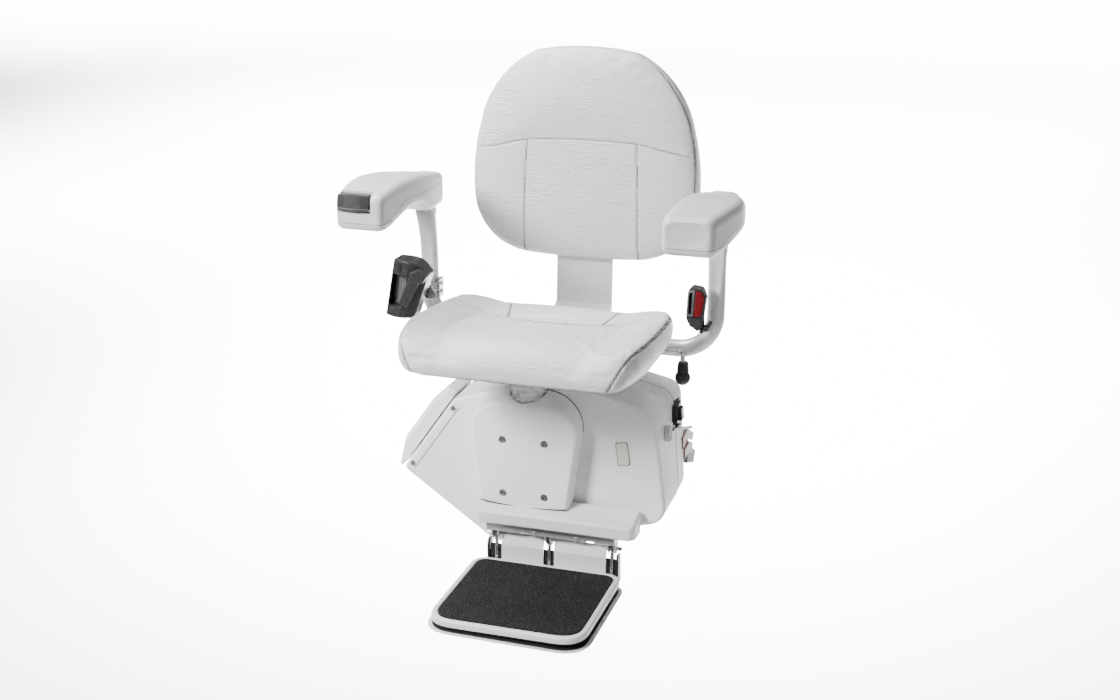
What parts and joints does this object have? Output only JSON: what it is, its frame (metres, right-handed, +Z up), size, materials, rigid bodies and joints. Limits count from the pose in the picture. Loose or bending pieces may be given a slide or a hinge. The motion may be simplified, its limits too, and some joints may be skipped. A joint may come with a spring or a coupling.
{
  "type": "stairlift chair",
  "caption": "Seated chair for an inclined stair rail: crowned vinyl seat and back on a swivel post, folding arms and footrest, covered drive carriage",
  "frame": {"origin": "on the rail's centre line, on the rear face of the carriage chassis, in the seat's middle plane", "axes": "+Z up, -Y towards the sitter's front, +X to the sitter's left and down the rail's slope"},
  "size_m": [0.76, 0.6045, 1.0508],
  "materials": {
    "cover_plastic": "satin, lightly grained moulding",
    "seat_vinyl": "soft grained vinyl with fine creases",
    "arm_plastic": "satin",
    "tube_silver": "fine metallic powder coat",
    "zinc_steel": "bright zinc plate",
    "chrome": "polished",
    "black_plastic": "satin",
    "red_button": "gloss",
    "rubber": "matte, finely cross-hatched on the tread",
    "contact_copper": "bare copper alloy",
    "board_green": "solder-masked board",
    "battery_case": "moulded case",
    "boot_plastic": "crinkled and shiny",
    "tray_plastic": "fine grain",
    "roller_nylon": "natural nylon",
    "chassis_steel": "powder coat",
    "motor_metal": "as cast"
  },
  "bodies": {
    "carriage": {"carriage_chassis": "chassis_steel", "front_cover": "cover_plastic", "rear_cover": "cover_plastic", "sensor_trim_strip": "cover_plastic", "cover_screws": "zinc_steel", "badge_plate": "tray_plastic", "crank_access_plug": "arm_plastic", "power_switch_bezel": "black_plastic", "charge_contact_bracket": "arm_plastic", "charge_contacts": "contact_copper", "drive_motor": "motor_metal", "gearbox": "motor_metal", "battery_pack": "battery_case", "battery_tray": "chassis_steel", "control_board": "board_green", "post_bracket": "chassis_steel", "seat_post": "zinc_steel", "post_cover": "cover_plastic", "post_boot": "boot_plastic", "foot_bar": "chassis_steel", "foot_bar_cover": "cover_plastic", "footrest_hinge_bracket": "zinc_steel", "footrest_hinge_pin": "chrome", "roller_axles": "zinc_steel"},
    "upper_uphill_roller": {"roller_upper_uphill": "roller_nylon"},
    "upper_downhill_roller": {"roller_upper_downhill": "roller_nylon"},
    "lower_uphill_roller": {"roller_lower_uphill": "roller_nylon"},
    "lower_downhill_roller": {"roller_lower_downhill": "roller_nylon"},
    "pinion": {"drive_pinion": "zinc_steel"},
    "switch": {"power_rocker": "black_plastic"},
    "uphill_pan": {"uphill_sensor_pan": "cover_plastic"},
    "footrest": {"footrest_panel": "tray_plastic", "footrest_tray": "tray_plastic", "tread_pad": "rubber"},
    "footrest_pan": {"footrest_sensor_pan": "tray_plastic"},
    "swivel": {"swivel_plate": "zinc_steel", "seat_frame": "chassis_steel", "seat_hinge_pin": "zinc_steel", "arm_tube_left": "tube_silver", "arm_tube_right": "tube_silver", "arm_bumpers": "rubber", "back_plate": "tube_silver", "back_cushion": "seat_vinyl", "back_panel": "arm_plastic", "retractor_bracket": "zinc_steel", "retractor_housing": "black_plastic", "buckle_bracket": "black_plastic"},
    "seat": {"seat_board": "black_plastic", "seat_cushion": "seat_vinyl"},
    "lever": {"swivel_lever": "chrome", "lever_knob": "black_plastic"},
    "arm_left": {"arm_base_left": "arm_plastic", "arm_pad_left": "arm_plastic"},
    "arm_right": {"arm_base_right": "arm_plastic", "arm_pad_right": "arm_plastic"},
    "drive_toggle": {"arm_rocker": "black_plastic"},
    "buckle": {"buckle_body": "black_plastic"},
    "release_button": {"buckle_button": "red_button"},
    "tongue": {"belt_tongue": "black_plastic"}
  },
  "joints": [
    {"name": "upper_uphill_roller_spin", "type": "hinge", "parent": "carriage", "child": "upper_uphill_roller", "pos_m": [-0.18545, 0.017, 0.18845], "axis": [0, 1, 0], "continuous": true},
    {"name": "upper_downhill_roller_spin", "type": "hinge", "parent": "carriage", "child": "upper_downhill_roller", "pos_m": [-0.03145, 0.017, 0.08062], "axis": [0, 1, 0], "continuous": true},
    {"name": "lower_uphill_roller_spin", "type": "hinge", "parent": "carriage", "child": "lower_uphill_roller", "pos_m": [-0.24051, 0.017, 0.10981], "axis": [0, 1, 0], "continuous": true},
    {"name": "lower_downhill_roller_spin", "type": "hinge", "parent": "carriage", "child": "lower_downhill_roller", "pos_m": [-0.08651, 0.017, 0.00198], "axis": [0, 1, 0], "continuous": true},
    {"name": "pinion_spin", "type": "hinge", "parent": "carriage", "child": "pinion", "pos_m": [-0.16351, 0.013, 0.05589], "axis": [0, 1, 0], "continuous": true},
    {"name": "switch_tilt", "type": "hinge", "parent": "carriage", "child": "switch", "pos_m": [0.236, -0.038, 0.225], "axis": [0, 1, 0], "range_deg": [-8, 8]},
    {"name": "uphill_pan_press", "type": "slide", "parent": "carriage", "child": "uphill_pan", "axis": [0.8192, 0, -0.5736], "range_m": [0, 0.003], "stiffness_N_per_m": 2500, "springref_m": -0.006},
    {"name": "footrest_fold", "type": "hinge", "parent": "carriage", "child": "footrest", "pos_m": [0.008, -0.166, -0.022], "axis": [-1, 0, 0], "range_deg": [0, 90]},
    {"name": "footrest_pan_press", "type": "slide", "parent": "footrest", "child": "footrest_pan", "axis": [0, 0, 1], "range_m": [0, 0.004], "stiffness_N_per_m": 2500, "springref_m": -0.006},
    {"name": "seat_swivel", "type": "hinge", "parent": "carriage", "child": "swivel", "pos_m": [-0.044, -0.142, 0.343], "axis": [0, 0, 1], "range_deg": [-90, 90]},
    {"name": "seat_fold", "type": "hinge", "parent": "swivel", "child": "seat", "pos_m": [0, -0.022, 0.388], "axis": [-1, 0, 0], "range_deg": [0, 80]},
    {"name": "lever_turn", "type": "hinge", "parent": "swivel", "child": "lever", "pos_m": [0.2, -0.06, 0.366], "axis": [-1, 0, 0], "range_deg": [0, 25], "stiffness_Nm_per_rad": 0.4, "springref_deg": -11.46},
    {"name": "arm_left_fold", "type": "hinge", "parent": "swivel", "child": "arm_left", "pos_m": [-0.3, -0.034, 0.642], "axis": [-1, 0, 0], "range_deg": [0, 85]},
    {"name": "arm_right_fold", "type": "hinge", "parent": "swivel", "child": "arm_right", "pos_m": [0.3, -0.034, 0.642], "axis": [-1, 0, 0], "range_deg": [0, 85]},
    {"name": "drive_toggle_tilt", "type": "hinge", "parent": "arm_left", "child": "drive_toggle", "pos_m": [-0.3165, -0.326, 0.684], "axis": [0, 0, 1], "range_deg": [-6, 6], "stiffness_Nm_per_rad": 0.2},
    {"name": "buckle_tilt", "type": "hinge", "parent": "swivel", "child": "buckle", "pos_m": [0.286, -0.06, 0.416], "axis": [0, 1, 0], "range_deg": [-8, 8]},
    {"name": "release_button_press", "type": "slide", "parent": "buckle", "child": "release_button", "axis": [0, 1, 0], "range_m": [0, 0.004], "stiffness_N_per_m": 300, "springref_m": -0.004},
    {"name": "tongue_pull", "type": "slide", "parent": "swivel", "child": "tongue", "axis": [0, -1, 0], "range_m": [0, 0.03], "stiffness_N_per_m": 60, "springref_m": -0.03}
  ]
}
